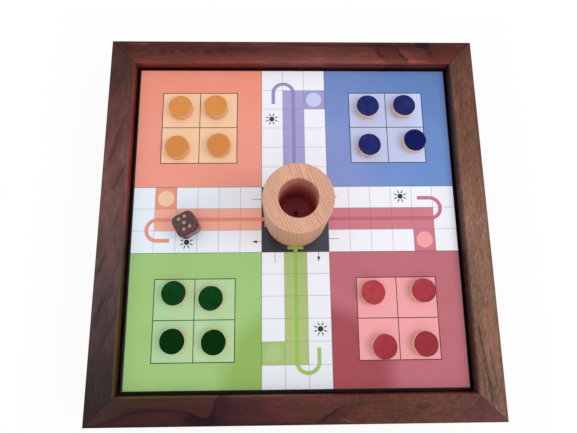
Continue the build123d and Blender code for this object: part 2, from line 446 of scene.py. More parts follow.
def right_figure(board):
    """
    Mottled wood with short dashes and flecks of pore, long thin dark lines that run out at the front
    mitre, and a darker strip of wood near the inner edge. The rounded inner edge, where it turns down into
    the shaded wall, and the rounded outer edge have painted shade.
    """
    recipe, along, across = board.recipe, board.along, board.across
    dash = recipe.noise((along * 0.22 + across * 0.15, across * 1.1, 2.0), 1.0, 2.0, 0.6)
    fleck = recipe.noise((along * 0.5, across * 0.9, 7.0), 1.0, 1.0).rise(0.66, 0.76)
    shade = board.lined((dash - 0.5) * 1.7 - fleck * along.rise(60, 0) * 0.22, [
        ((-140, 9.8), (-84, 4.4), 1.0, 0.62), ((-128, 14.0), (-100, 11.5), 0.9, 0.40),
        ((-150, 6.0), (-118, 4.5), 0.8, 0.40), ((-138, 12.0), (-122, 9.0), 0.8, 0.45),
        ((60, 4.0), (72, 15.0), 3.0, 0.22), ((118, 16.0), (140, 13.0), 1.2, 0.22),
    ])
    # Painted shade along the rounded outer edge; in inner, the second term is painted shade along the rounded
    # inner edge.
    edge = (across - 18.6).bell(0.9) * along.rise(120, 90) * 0.20
    inner = across.rise(9.5, 5.0) * board.span(-128, -18, 12) * 0.17 + (across - 0.5).bell(0.9) * 0.45
    return shade - edge - inner + across.rise(7.0, 11.0) * board.span(-128, -48, 10) * 0.08


# Each rail's edges are painted light and shade on its inner edge and wall: red where the back wall is lit,
# ochre and red from the print's yards beside the left wall, and nearly black where the right wall lies in
# shade.
rails = {
    "back": dict(
        seed=1.0, outwards=1.0, turned=False, streaks=(0.03, 120.0, 6.0, 0.5), figure=back_figure,
        tones=[(-150, (70, 38, 30)), (-110, (86, 43, 33)), (-60, (96, 46, 41)), (10, (106, 58, 52)),
               (70, (101, 51, 42)), (152, (76, 30, 24))],
        edges=[(-130, (118, 41, 33)), (-10, (114, 43, 36)), (30, (112, 49, 46)), (125, (96, 42, 38))],
        dusk=(98, 36, 40),
    ),
    "front": dict(
        seed=2.3, outwards=-1.0, turned=False, streaks=(-0.10, 80.0, 7.0, 0.45), figure=front_figure,
        tones=[(-150, (56, 38, 35)), (-126, (60, 36, 33)), (-112, (60, 33, 27)), (-66, (66, 34, 28)),
               (-53, (52, 26, 30)), (-20, (72, 35, 34)), (30, (86, 47, 38)), (80, (94, 54, 42)),
               (152, (96, 60, 56))],
        edges=[(-120, (90, 66, 34)), (-20, (92, 58, 40)), (10, (92, 28, 20)), (152, (96, 28, 20))],
        dusk=(80, 32, 44),
    ),
    "left": dict(
        seed=3.9, outwards=-1.0, turned=True, streaks=(-0.33, 110.0, 6.5, 0.7), figure=left_figure,
        tones=[(-150, (46, 33, 32)), (-125, (49, 37, 35)), (-100, (68, 52, 50)), (-50, (86, 66, 66)),
               (15, (108, 74, 71)), (80, (100, 60, 56)), (125, (80, 44, 36)), (152, (72, 43, 36))],
        edges=[(-60, (86, 62, 16)), (-25, (84, 57, 42)), (20, (134, 48, 42)), (120, (122, 46, 40))],
        dusk=(84, 66, 68),
    ),
    "right": dict(
        seed=5.2, outwards=1.0, turned=True, streaks=(-0.09, 60.0, 5.0, 0.5), figure=right_figure,
        # These tones are paler than the other rails', partly for this rail's own wood and partly as painted
        # sheen from the light on the right.
        tones=[(-152, (120, 88, 72)), (-90, (128, 92, 74)), (0, (140, 103, 85)), (60, (114, 77, 62)),
               (110, (112, 73, 58)), (152, (80, 50, 40))],
        edges=[(-120, (92, 54, 44)), (-40, (86, 54, 52)), (60, (80, 58, 62)), (130, (44, 31, 35))],
        dusk=(110, 72, 66),
    ),
}
for side, wood in rails.items():
    wear(nodes["rail_" + side], rail_material(f"rail_{side}_wood", **wood))

# ---------------------------------------------------------------------------
# The splines: tongues of plain pale hardwood, glued into stopped slots in the
# mitres, with their grain across the joint. None of them shows.
# ---------------------------------------------------------------------------


def plain_wood(name, seed, turned, pale, dark, ring=1.4, sheen=0.5):
    """Straight-grained wood: a pale colour darkened along its rings and fibres."""
    recipe, (x, y, z) = material(name)
    along, across = (y, x) if turned else (x, y)
    rings, fibre, pores, cloud = recipe.use(
        grain_group, Along=along, Across=across, Up=z, Seed=seed, Ring=ring, Wander=2.0)
    share = (rings * 0.45 + fibre.rise(0.3, 0.8) * 0.3 + pores * 0.2 + cloud * 0.25).clamped()
    return recipe.finish(
        Base_Color=recipe.mix(share, pale, dark),
        Roughness=fibre * 0.2 + sheen,
        Normal=recipe.bump(fibre * 0.5 - pores, 0.08, 0.6),
        Specular_IOR_Level=0.35,
    )


spline_finish = plain_wood("spline_wood", 8.1, False, rgb(206, 170, 128), rgb(150, 108, 72))
for corner in ("front_left", "front_right", "back_right", "back_left"):
    wear(nodes["spline_" + corner], spline_finish)

# ---------------------------------------------------------------------------
# The base: a sheet of thin plywood, laid up into a rabbet under the rails. Its
# faces are one wide rotary-cut veneer, and its edges show the plies.
# ---------------------------------------------------------------------------

base_low, base_high = corners_of("base_panel")


def plywood():
    """A veneer with wide, wandering rings on the faces, and plies of 0.8 mm with thin glue on the edges."""
    recipe, (x, y, z) = material("base_plywood")
    rings, fibre, pores, cloud = recipe.use(
        grain_group, Along=x, Across=y * 0.35, Up=z * 0.05, Seed=12.4, Ring=5.0, Wander=9.0, Tilt=1.0)
    share = (rings * 0.35 + fibre.rise(0.3, 0.8) * 0.25 + pores * 0.15 + cloud * 0.3).clamped()
    face = recipe.mix(share, rgb(214, 178, 130), rgb(160, 114, 72))
    # Every other ply is cut across its grain, which is darker.
    ply = (z - base_low[2]) / 0.8
    turn = (ply.math("FLOOR") / 2.0).math("FRACT").rise(0.2, 0.3)
    glue = abs(ply.math("FRACT") - 0.5).rise(0.42, 0.48)
    edge = recipe.layers(
        rgb(204, 166, 118), (turn * 0.6 + fibre * 0.3, rgb(140, 98, 62)), (glue * 0.7, rgb(84, 56, 36)))
    on_edge = abs(x).most(abs(y)).rise(base_high[0] - 0.05, base_high[0] - 0.01)
    return recipe.finish(
        Base_Color=recipe.mix(on_edge, face, edge),
        Roughness=fibre * 0.2 + 0.55,
        Normal=recipe.bump(fibre * 0.5 - pores, 0.1, 0.6),
        Specular_IOR_Level=0.3,
    )


wear(nodes["base_panel"], plywood())

# ---------------------------------------------------------------------------
# The base's screws: twelve slotted countersunk steel screws, bright zinc
# plated, driven up through the plywood into the rails with their heads flush.
# ---------------------------------------------------------------------------


def zinc_steel():
    """Bright plated steel: finely brushed, and a little darker in patches."""
    recipe, (x, y, z) = material("zinc_steel")
    patch = recipe.noise((x, y, z), 0.7, 3.0)
    brushed = recipe.noise((x * 9.0, y * 9.0, z * 0.5))
    return recipe.finish(
        Base_Color=recipe.ramp(patch, [(0.3, rgb(176, 174, 164)), (0.7, rgb(206, 204, 196))]),
        Roughness=brushed * 0.25 + 0.2,
        Normal=recipe.bump(brushed, 0.02),
        Metallic=1.0,
    )


steel = zinc_steel()
wear(nodes["base_screws"], steel)


def smooth_piece(name, vertices, faces):
    """A piece with a smooth mesh, from an array of vertices in metres and faces as lists of their numbers."""
    mesh = bpy.data.meshes.new(name)
    mesh.from_pydata(vertices.tolist(), [], faces)
    mesh.shade_smooth()
    piece = bpy.data.objects.new(name, mesh)
    bpy.context.scene.collection.objects.link(piece)
    return piece


def quads_between(rows, columns):
    """Faces between each ring of vertices and the next one."""
    row, column = np.meshgrid(np.arange(rows - 1), np.arange(columns), indexing="ij")
    here, after = row * columns + column, row * columns + (column + 1) % columns
    return np.stack([here, after, after + columns, here + columns], -1).reshape(-1, 4).tolist()


def screws(name, places):
    """
    Screws with the head's face at a place and the tip above it. The rings of 24 vertices have two at each
    side of the slot, which is a straight cut through the first of them. The thread is a ridge in the
    radius, highest where the height in pitches less the share of a turn has a fraction of one half.
    """
    head, cone, slot_half, slot_depth = 2.9, 1.7, 0.4, 0.7
    shank, plain, root, pitch, length, taper = 1.5, 4.2, 1.08, 1.35, 15.0, 3.0

    def half_ring(radius):
        edge = np.arcsin(slot_half / radius)
        return np.r_[edge, np.radians([22, 38, 54, 72, 90, 108, 126, 142, 158]), np.pi - edge]

    def full_ring(radius):
        half = np.r_[0, half_ring(radius)]
        return np.r_[half, half + np.pi]

    def ring(radius, angle, height):
        return np.stack([radius * np.cos(angle), radius * np.sin(angle), np.full(angle.shape, height)], -1)

    low = head - (head - shank) * slot_depth / cone
    angle = full_ring(shank)
    rows = [ring(low, full_ring(low), slot_depth), ring(shank, angle, cone), ring(shank, angle, plain)]
    for height in np.arange(plain + 0.2, length - 0.1, pitch / 8):
        ridge = np.clip(1 - np.abs((height / pitch - angle / (2 * np.pi)) % 1 - 0.5) / 0.3, 0, 1)
        radius = (root + (shank - root) * ridge) * min(1, (length - height) / taper)
        rows.append(ring(radius, angle, height))
    rim = ring(head, np.r_[half_ring(head), half_ring(head) + np.pi], 0)
    one = np.vstack([*rows, rim, [[0, 0, length]]])
    count = 24 * len(rows)
    faces = quads_between(len(rows), 24)
    faces += [[count - 24 + k, count - 24 + (k + 1) % 24, len(one) - 1] for k in range(24)]
    for start, first in ((count, 1), (count + 11, 13)):
        faces += [[start + k, start + k + 1, first + k + 1, first + k] for k in range(10)]
        faces += [list(range(start + 10, start - 1, -1)), [start + 10, start, first, first + 10]]
    faces.append([1, 0, 23, 13, 12, 11])
    vertices = np.vstack([one + place for place in places])
    every = [[index + number * len(one) for index in face] for number in range(len(places)) for face in faces]
    piece = smooth_piece(name, vertices * MM, every)
    piece.data.set_sharp_from_angle(angle=0.6)
    return piece


row_of_three = np.array([(-105.0, -136.25), (0.0, -136.25), (105.0, -136.25)])
quarter = np.array([(0.0, 1.0), (-1.0, 0.0)])
screw_places = np.vstack([row_of_three @ np.linalg.matrix_power(quarter, k) for k in range(4)])
driven = screws("base_screws_threaded", np.column_stack([screw_places, np.full(12, base_low[2])]))
driven.data.materials.append(steel)
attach(driven, "box")
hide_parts("base_screws")

# ---------------------------------------------------------------------------
# The ledges: strips of dark stained wood, glued to the inside of the rails,
# on which the loose playing panel lies.
# ---------------------------------------------------------------------------

for number, side in enumerate(("front", "right", "back", "left")):
    turned = side in ("right", "left")
    seed = 20.0 + number
    stain = plain_wood(f"ledge_{side}_wood", seed, turned, rgb(52, 38, 34), rgb(24, 16, 15), 1.8, 0.45)
    wear(nodes["ledge_" + side], stain)

# ---------------------------------------------------------------------------
# The playing panel: a flat board with a black lacquered top and edges, which
# show as a thin glossy border round the print. It lifts straight out.
# ---------------------------------------------------------------------------


def black_lacquer():
    """Black lacquer laid on with a roller: fine orange peel, worn a little grey along the top edge."""
    recipe, (x, y, z) = material("black_lacquer")
    half, _, top = corners_of("playing_panel")[1]
    peel = recipe.noise((x, y, z), 0.8, 3.0)
    rub = recipe.noise((x, y, z), 0.25, 4.0, 0.7)
    top_edge = abs(x).most(abs(y)).rise(half - 0.6, half - 0.1) * z.rise(top - 0.7, top - 0.3)
    top_edge = top_edge * rub.rise(0.48, 0.68)
    return recipe.finish(
        Base_Color=recipe.mix(top_edge * 0.6, rgb(17, 18, 27), rgb(86, 80, 82)),
        Roughness=peel * 0.12 + 0.16 + top_edge * 0.3,
        Normal=recipe.bump(peel, 0.03),
        Specular_IOR_Level=0.18,
    )


wear(nodes["playing_panel"], black_lacquer())

# ---------------------------------------------------------------------------
# The printed sheet: the ludo path and its four yards, printed on paper,
# laminated glossy and glued down on the panel. The pattern of one arm is the
# same on all four, turned a quarter each time, in the colour of its player.
# ---------------------------------------------------------------------------

across_cell = 17.77      # squares of the path, across an arm
along_cell = 16.98       # and along it
arm_half = 1.5 * across_cell
print_half = arm_half + 6 * along_cell    # the sheet is trimmed a little outside this
yard_middle, home_half = 78.0, 31.0       # the four squares of a yard: their middle, and half their side


def print_bar(recipe, x, y, left, right, low, high, blur):
    """Mask of an upright rectangle, from the least of the distances to its four sides."""
    across, along = (x - left).least(right - x), (y - low).least(high - y)
    return {"Mask": across.least(along).inked(blur)}


def print_ring(recipe, x, y, radius, half, blur):
    """Mask of a ring about a point, from half its width less how far a place is off its radius."""
    off = abs((x * x + y * y).math("SQRT") - radius)
    return {"Mask": (half - off).inked(blur)}


def print_sun(recipe, x, y):
    """A sun: a disc, and eight rays from 3 to 6.2 mm out whose width shrinks to nothing at the tip."""
    reach = (x * x + y * y).math("SQRT")
    eighth = np.pi / 4
    turn = (y.math("ARCTAN2", x) / eighth).math("FRACT") - 0.5
    off_ray = abs((turn * eighth).math("SINE") * reach)
    rays = ((6.2 - reach) * 0.2 - off_ray).inked() * (reach - 3.0).inked()
    return {"Mask": rays.most((2.15 - reach).inked())}


bar_group = effect(print_bar, X=0.0, Y=0.0, Left=-1.0, Right=1.0, Low=-1.0, High=1.0, Blur=0.16)
ring_group = effect(print_ring, X=0.0, Y=0.0, Radius=5.0, Half=1.0, Blur=0.16)
sun_group = effect(print_sun, X=0.0, Y=0.0)


def print_arm(recipe, x, y):
    """
    The marks of one arm, with Y outwards along it: the tinted home column and start square, the pale
    spot in the start square, the home line with its hook and the bar that it ends in, and the black marks.
    """
    half = across_cell / 2
    outer_row = print_half - along_cell

    def bar(left, right, low, high, blur=0.16):
        return recipe.use(bar_group, X=x, Y=y, Left=left, Right=right, Low=low, High=high, Blur=blur)

    spot = recipe.use(
        ring_group, X=x - 17.35, Y=y - (outer_row - along_cell / 2), Radius=0.0, Half=6.45, Blur=0.5)
    # The line runs out along the column, turns over in a half ring and comes back for a short leg.
    line_half, bend, turn_height = 1.5, 8.4, 109.1
    hook = recipe.use(ring_group, X=x + bend, Y=y - turn_height, Radius=bend, Half=line_half, Blur=0.3)
    hook = hook * y.rise(turn_height - 0.1, turn_height + 0.1)
    leg = bar(-2 * bend - line_half, -2 * bend + line_half, 99.2, turn_height, 0.3)
    foot = bar(-6.2, 6.2, 22.2, 24.4, 0.3)
    # Thin grey lines between the squares.
    rows = ((y - arm_half) / along_cell).least(5.5).math("FRACT")
    row_gap = rows.least(1.0 - rows) * along_cell
    column_gap = abs(abs(x) - half)
    # The turn marks in the squares next to the middle: a plain line on one side, an arrow on the other.
    stroke = bar(15.95, 16.4, arm_half, 34.8).most(bar(-18.4, -17.95, arm_half, 30.6))
    head = ((34.2 - y) * 0.32 - abs(x + 18.17)).inked() * (y - 30.3).inked()
    sun = recipe.use(sun_group, X=x + 18.2, Y=y - (print_half - 2.5 * along_cell) + 0.5)
    return {
        "Column": bar(-half, half, arm_half, outer_row),
        "Start": bar(half, arm_half, outer_row - along_cell, outer_row),
        "Spot": spot,
        "Line": bar(-line_half, line_half, 22.0, turn_height, 0.3).most(hook).most(leg).most(foot),
        "Grid": (0.22 - row_gap.least(column_gap)).inked(),
        "Ink": (stroke * 0.75).most(head).most(sun),
    }


arm_group = effect(print_arm, X=0.0, Y=0.0)


def print_finish():
    """The sheet's print under its laminate: the path, the arms' marks, the yards and the black margin."""
    recipe, (x, y, z) = material("ludo_print")
    # The print lies a fifth of a degree askew on the panel, and a hair towards the player.
    x, y = x + y * 0.003 - 0.15, y - x * 0.003 + 0.4
    to_right, to_back = x.rise(-0.01, 0.01), y.rise(-0.01, 0.01)

    def by_quarter(orange, blue, green, red):
        """One colour for each quarter of the sheet."""
        back = recipe.mix(to_right, orange, blue)
        front = recipe.mix(to_right, green, red)
        return recipe.mix(to_back, front, back)

    # The white squares of the path, with painted shade: faintly bluer on the left arm, away from the light on
    # the right, and greyer towards the player.
    colour = recipe.layers(
        rgb(246, 246, 253),
        (x.rise(-20.0, -120.0) * 0.8, rgb(237, 247, 255)), (y.rise(-25.0, -125.0), rgb(234, 237, 242)),
    )

    # The four arms, top, right, bottom and left: colours of the column, start square, spot and line.
    arms = [
        ((x, y), rgb(179, 175, 221), rgb(172, 172, 220), rgb(212, 217, 243), rgb(154, 148, 200)),
        ((0.0 - y, x), rgb(216, 138, 151), rgb(216, 132, 146), rgb(247, 175, 180), rgb(204, 110, 126)),
        ((0.0 - x, 0.0 - y), rgb(183, 203, 132), rgb(178, 200, 122), rgb(180, 206, 146), rgb(162, 198, 90)),
        ((y, 0.0 - x), rgb(251, 188, 169), rgb(238, 166, 142), rgb(247, 212, 178), rgb(238, 150, 130)),
    ]
    ink = grid = None
    lines = []
    for (across, along), *colours, line_colour in arms:
        *tinted, line, arm_grid, arm_ink = recipe.use(arm_group, X=across, Y=along)
        colour = recipe.layers(colour, *zip(tinted, colours))
        lines.append((line * 0.92, line_colour))
        in_arm = recipe.use(bar_group, X=across, Y=along, Left=-arm_half, Right=arm_half,
                            Low=arm_half, High=print_half + along_cell)
        grid = arm_grid * in_arm if grid is None else grid.most(arm_grid * in_arm)
        ink = arm_ink if ink is None else ink.most(arm_ink)

    # The slate square in the middle, under the ends of the four home lines.
    middle = recipe.use(bar_group, X=x, Y=y, Left=-arm_half, Right=arm_half, Low=-arm_half, High=arm_half)
    # Its right half is paler and bluer: a painted reflection in the laminate.
    slate = recipe.mix(x.rise(-20, 20), rgb(50, 54, 56), rgb(68, 72, 86))
    colour = recipe.layers(
        colour, (middle, slate), (grid * 0.42, rgb(90, 90, 104)), *lines, (ink * 0.97, rgb(6, 8, 14)))

    # The yards, each with four squares for its tokens. A painted reflection of the room on the glossy
    # laminate makes them paler, least at the middle of the front and along the back.
    off_x, off_y = abs(x), abs(y)
    inwards = off_x.least(off_y) - arm_half
    yard = inwards.inked()
    clear = oval(x, y, (8.0, -120.0), (64.0, 54.0)).rise(1.3, 0.65)
    painted_reflection = 1.0 - clear.most(y.rise(55.0, 125.0) * (x.rise(60.0, 115.0) * 0.28 + 0.52))
    # A thin pale streak of painted reflection low in the red yard.
    painted_reflection = painted_reflection.most((x - 75.0).bell(2.2) * y.rise(-107.0, -113.0) * 0.8)
    full = by_quarter(rgb(247, 155, 122), rgb(100, 136, 196), rgb(157, 192, 100), rgb(176, 78, 90))
    reflected_blue = recipe.mix(x.rise(100.0, 30.0), rgb(118, 156, 214), rgb(146, 162, 218))
    reflected_colours = by_quarter(rgb(244, 168, 150), reflected_blue, rgb(172, 210, 134), rgb(201, 119, 131))
    home_x, home_y = off_x - yard_middle, off_y - yard_middle
    from_home = abs(home_x).most(abs(home_y))
    home = (home_half - from_home).inked()
    blue_tint = recipe.mix(x.rise(85.0, 110.0), rgb(205, 211, 240), rgb(213, 221, 254))
    green_tint = recipe.mix(x.rise(-85.0, -108.0), rgb(194, 223, 175), rgb(184, 221, 172))
    tint = by_quarter(rgb(250, 214, 178), blue_tint, green_tint, rgb(245, 178, 182))
    outline = (0.36 - abs(from_home - home_half)).inked()
    cross = (0.34 - abs(home_x).least(abs(home_y))).inked() * home
    border = (0.3 - abs(inwards)).inked(0.2)
    border = border * off_x.most(off_y).rise(arm_half + 0.2, arm_half + 0.4)
    dark = by_quarter(rgb(96, 42, 22), rgb(30, 36, 66), rgb(24, 60, 28), rgb(76, 16, 30))
    # The print ends in a black margin, which shows on the left, since it lies askew.
    margin = (0.0 - x - 128.7).inked(0.3)
    colour = recipe.layers(
        colour, (yard, recipe.mix(painted_reflection, full, reflected_colours)), (home * yard, tint),
        (outline.most(cross) * yard * 0.92, dark), (border * 0.55, dark), (margin, rgb(17, 18, 27)),
    )

    # Uneven ink and a laminate that isn't quite flat.
    mottle = recipe.noise((x, y, z), 0.05, 3.0, 0.6)
    wave = recipe.noise((x * 0.03, y * 0.012, 0.0), 1.0, 1.0)
    smear = recipe.noise((x, y, z), 0.11, 4.0, 0.7)
    return recipe.finish(
        Base_Color=recipe.mix((mottle - 0.5) * 0.35 + 0.5, colour, rgb(128, 128, 132), "SOFT_LIGHT"),
        Roughness=smear.rise(0.5, 0.8) * 0.12 + 0.10,
        Normal=recipe.bump(wave, 1.2, 0.35),
        Specular_IOR_Level=0.35,
    )


wear(nodes["printed_sheet"], print_finish())

# ---------------------------------------------------------------------------
# The tokens: discs sawn from a turned dowel of pale wood, four to a player.
# Each top was dabbed with paint that ends unevenly on its rubbed edge, and
# the sawn and turned side was left bare.
# ---------------------------------------------------------------------------


def surface(name, points):
    """
    A mesh from a grid of points of shape (rows, columns, 3). Columns run round the shape and close on
    themselves; the first and last row are drawn to one point each, which becomes a fan.
    """
    count, columns = len(points) - 2, points.shape[1]
    vertices = np.vstack([points[1:-1].reshape(-1, 3), points[0, :1], points[-1, :1]])
    ring = np.arange(columns)
    following = (ring + 1) % columns
    first, end = count * columns, (count - 1) * columns
    faces = quads_between(count, columns)
    faces += np.stack([np.full(columns, first), following, ring], -1).tolist()
    faces += np.stack([np.full(columns, first + 1), end + ring, end + following], -1).tolist()
    return smooth_piece(name, vertices, faces)


def rounded(*corners):
    """
    A profile of radius and height with its corners rounded. Each corner is (radius, height, round-over);
    a rounded one becomes a quadratic curve from one round-over before it to one after it.
    """
    corners = np.array(corners, float)
    place, size = corners[:, :2], corners[:, 2:]

    def towards(neighbour):
        way = neighbour - place
        return place + size * way / np.maximum(np.linalg.norm(way, axis=1, keepdims=True), 1e-9)

    start, end = towards(np.roll(place, 1, 0)), towards(np.roll(place, -1, 0))
    t = np.linspace(0, 1, 7)[None, :, None]
    curve = (1 - t) ** 2 * start[:, None] + 2 * t * (1 - t) * place[:, None] + t**2 * end[:, None]
    curve = curve.reshape(-1, 2)
    return curve[np.r_[True, np.linalg.norm(np.diff(curve, axis=0), axis=1) > 1e-6]]


def turned_surface(name, profile, centre, columns, swell):
    """A profile in millimetres turned about an upright axis; swell adds to its radius by row and angle."""
    angle = np.arange(columns) * 2 * np.pi / columns
    radius, height = profile[:, :1], np.repeat(profile[:, 1:], columns, 1)
    radius = radius + np.where(radius > 1e-6, swell(radius, profile[:, 1:], angle[None, :]), 0)
    points = np.stack([radius * np.cos(angle), radius * np.sin(angle), height], -1)
    return surface(name, (points + np.array([centre[0], centre[1], 0.0])) * MM)


def dowel_wood():
    """Pale wood, sawn across: rings show on the ends and run down the side, with flecks and saw marks."""
    recipe, (x, y, z) = material("dowel_wood")
    sway = recipe.noise((x, y, z * 0.05), 0.09)
    rings = ((x * 0.8 + y * 0.6 + sway * 7.0) / 1.3).math("FRACT").rise(0.2, 0.95)
    fleck = recipe.noise((x * 2.6, y * 2.6, z * 0.4), 1.0, 3.0, 0.6)
    stain = recipe.noise((x, y, z), 0.3)
    saw = recipe.noise((x * 0.4, y * 3.5, z * 6.0))
    # On the orange tokens the bare side is tinted orange: a painted reflection of the orange yard around
    # them.
    orange_yard_reflection = x.rise(-12.0, -20.0) * y.rise(12.0, 20.0)
    colour = recipe.layers(
        rgb(235, 208, 180),
        (rings * 0.4 + fleck.rise(0.4, 0.8) * 0.3, rgb(204, 163, 128)),
        (stain.rise(0.55, 0.8) * 0.3, rgb(188, 142, 110)), (orange_yard_reflection * 0.55, rgb(226, 164, 104)),
    )
    return recipe.finish(
        Base_Color=colour,
        Roughness=fleck * 0.2 + 0.5,
        Normal=recipe.bump(saw, 0.08),
        Specular_IOR_Level=0.3,
    )


def brushed_paint(name, colour, thin, thick, gloss, darkening_from, lean, darkening_to, darker_tone):
    """
    Thin matt paint: fuller in patches, thinner along the brush, and worn through in specks. The tokens
    are darker towards the front, by their place.
    """
    recipe, (x, y, z) = material(name)
    body = recipe.noise((x, y, z), 0.16, 3.0, 0.6)
    brush = recipe.noise((x * 0.5 + y * 0.2, y * 3.0, z))
    speck = recipe.noise((x, y, z), 1.1).rise(0.74, 0.80)
    shade = recipe.layers(
        thin, (body.rise(0.3, 0.7), colour), (brush.rise(0.5, 0.85) * 0.35, thick),
        ((y - x * lean).rise(darkening_from, darkening_to) * 0.8, darker_tone), (speck * 0.25, rgb(214, 190, 160)),
    )
    return recipe.finish(
        Base_Color=shade,
        Roughness=body * 0.2 + gloss,
        Normal=recipe.bump(brush * 0.6 + body, 0.09),
        Specular_IOR_Level=0.04,
    )


paints = {
    "orange": (rgb(218, 140, 70), rgb(222, 148, 80), rgb(200, 122, 54), 0.5,
               85.0, 0.0, 70.0, rgb(211, 136, 73)),
    "blue": (rgb(26, 34, 98), rgb(40, 48, 108), rgb(18, 24, 76), 0.42,
             -8.0, 1.0, -28.0, rgb(10, 18, 86)),
    "green": (rgb(3, 56, 14), rgb(10, 66, 26), rgb(2, 42, 8), 0.42,
              -70.0, 0.0, -86.0, rgb(0, 40, 2)),
    "red": (rgb(170, 58, 69), rgb(182, 70, 80), rgb(146, 44, 53), 0.45,
            -125.0, 1.0, -190.0, rgb(143, 45, 56)),
}
bare_wood = dowel_wood()
draw = np.random.default_rng(41)
token_radius, paint_depth = 9.5, 0.14

for colour, tones in paints.items():
    paint = brushed_paint(colour + "_paint", *tones)
    for number in range(1, 5):
        node = f"token_{colour}_{number}"
        low, high = corners_of(node)
        centre, bottom, top = (low + high) / 2, low[2], high[2]
        crown = top - paint_depth
        phase = draw.uniform(0, 2 * np.pi, 6)

        def out_of_round(radius, height, angle, phase=phase):
            """Not quite round: two and three slight swells, and fine scores left by the turning."""
            swells = 0.05 * np.cos(2 * angle + phase[0]) + 0.03 * np.cos(3 * angle + phase[1])
            scores = 0.012 * np.sin(height * 9 + phase[2])
            return (swells + scores - 0.06) * radius / token_radius

        def ragged_edge(radius, height, angle, phase=phase):
            """The paint's edge wanders in and out, with long swells and short runs."""
            share = np.clip((radius - 7.5) / 1.5, 0, 1)
            wander = 0.10 * np.cos(2 * angle + phase[3]) + 0.08 * np.cos(5 * angle + phase[4])
            return (0.5 * wander + 0.02 * np.cos(9 * angle + phase[5])) * share

        foot = rounded((0, bottom, 0), (4, bottom, 0), (token_radius, bottom, 0.25),
                       (token_radius, bottom + 0.5, 0))
        side = np.stack([np.full(12, token_radius), np.linspace(bottom + 0.6, crown - 1.0, 12)], -1)
        head = rounded((token_radius, crown - 0.9, 0), (token_radius, crown, 0.75), (4, crown, 0),
                       (0, crown, 0))
        skin = rounded(
            (0, crown - 0.1, 0), (8.0, crown - 0.1, 0), (8.9, crown - 0.2, 0), (9.15, crown - 0.30, 0.03),
            (9.27, crown - 0.20, 0.04), (9.1, top, 0.32), (8.2, top, 0), (4, top, 0), (0, top, 0),
        )
        body = turned_surface(node + "_wood", np.vstack([foot, side, head]), centre, 96, out_of_round)
        coat = turned_surface(node + "_paint", skin, centre, 96, ragged_edge)
        for piece, finish in ((body, bare_wood), (coat, paint)):
            piece.data.materials.append(finish)
            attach(piece, f"{colour}_{number}")
            "paint_" + colour
        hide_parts(node)

# ---------------------------------------------------------------------------
# The die: a cube of the same dark wood with well-rounded edges. Its pips are
# shallow drilled dimples, each with a dab of pale paint.
# ---------------------------------------------------------------------------

die_low, die_high = corners_of("die")
die_centre = (die_low + die_high) / 2
die_turn = 29.0


def turned_by(x, y, degrees):
    """A place in axes that are turned to the left: how far it lies along the turned x and the turned y."""
    cosine, sine = np.cos(np.radians(degrees)), np.sin(np.radians(degrees))
    return x * cosine + y * sine, y * cosine - x * sine


def die_wood():
    """Dark reddish-brown wood, greyer on its top face, with painted highlights on its rounded edges."""
    recipe, (x, y, z) = material("die_wood")
    along, across = turned_by(x - die_centre[0], y - die_centre[1], die_turn)
    up = z - die_centre[2]
    rings, fibre, pores, cloud = recipe.use(
        grain_group, Along=along, Across=across, Up=up, Seed=7.7, Ring=2.2, Wander=1.5)
    # Two of the three distances are near the half side on an edge, so their second largest tells edges.
    first, second, third = abs(along), abs(across), abs(up)
    largest = first.most(second).most(third)
    smallest = first.least(second).least(third)
    edge = (first + second + third - largest - smallest).rise(5.8, 8.2)
    top = recipe.mix((along - across).rise(-9.0, 8.0), rgb(84, 56, 52), rgb(80, 38, 47))
    # Painted highlights on the rounded edges: lighter and redder towards one side, darker and purpler along
    # the front edge.
    lit_edge_tone = recipe.mix(along.rise(3.0, 8.0), rgb(86, 38, 42), rgb(122, 46, 40))
    lit_edge_tone = recipe.mix(across.rise(-8.5, -5.0), rgb(66, 32, 42), lit_edge_tone)
    grained = (rings * 0.4 + fibre.rise(0.35, 0.75) * 0.35).clamped()
    colour = recipe.layers(
        rgb(110, 46, 44), (up.rise(7.4, 8.7), top), (cloud.rise(0.5, 0.7) * 0.5, rgb(76, 46, 58)),
        (edge * 0.7, lit_edge_tone), (grained, rgb(50, 22, 22)), (pores * 0.5, rgb(26, 12, 12)),
    )
    return recipe.finish(
        Base_Color=colour,
        Roughness=fibre * 0.15 + up.rise(7.4, 8.8) * 0.15 + 0.12,
        Normal=recipe.bump(fibre * 0.5 - pores, 0.06),
    )


def pip_paint():
    """Pale, slightly grubby paint that dried in uneven dabs."""
    recipe, place = material("pip_paint")
    dab = recipe.noise(place, 0.9, 3.0, 0.6)
    return recipe.finish(
        Base_Color=recipe.ramp(dab, [(0.3, rgb(148, 122, 112)), (0.7, rgb(180, 156, 146))]),
        Roughness=dab * 0.3 + 0.4,
        Normal=recipe.bump(dab, 0.1, 0.6),
    )


wear(nodes["die"], die_wood())


